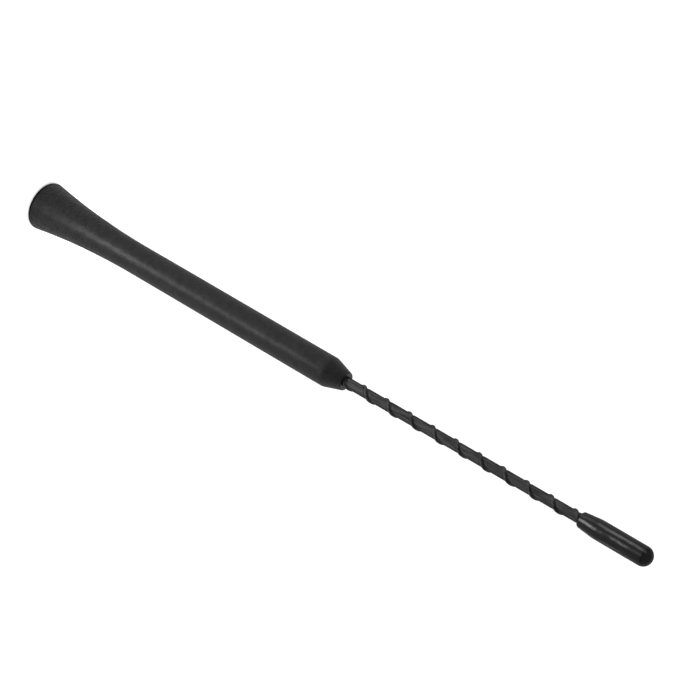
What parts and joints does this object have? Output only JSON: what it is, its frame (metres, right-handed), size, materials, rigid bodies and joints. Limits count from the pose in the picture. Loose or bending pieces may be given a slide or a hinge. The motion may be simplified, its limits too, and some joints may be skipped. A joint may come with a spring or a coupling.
{
  "type": "car mast aerial",
  "caption": "Black car mast aerial: flared rubber foot with a threaded insert, straight grip with conical nose, slim whip with a helical ridge, and a glossy bullet-shaped tip cap.",
  "frame": {"origin": "centre of the foot's sealing rim, where the aerial meets the roof base", "axes": "+Z along the mast from the foot to the tip"},
  "size_m": [0.0184, 0.0184, 0.2803],
  "materials": {
    "boot_rubber": "moulded black rubber, matt",
    "plated_brass": "turned brass, nickel plated",
    "glass_fibre": "pultruded glass fibre",
    "copper_wire": "enamelled copper wire",
    "jacket_plastic": "black plastic skin, satin",
    "cap_plastic": "moulded black plastic, gloss"
  },
  "bodies": {
    "root": {"grip_boot": "boot_rubber", "threaded_insert": "plated_brass", "mast_core": "glass_fibre", "radiator_coil": "copper_wire", "mast_jacket": "jacket_plastic", "tip_cap": "cap_plastic"}
  },
  "joints": []
}
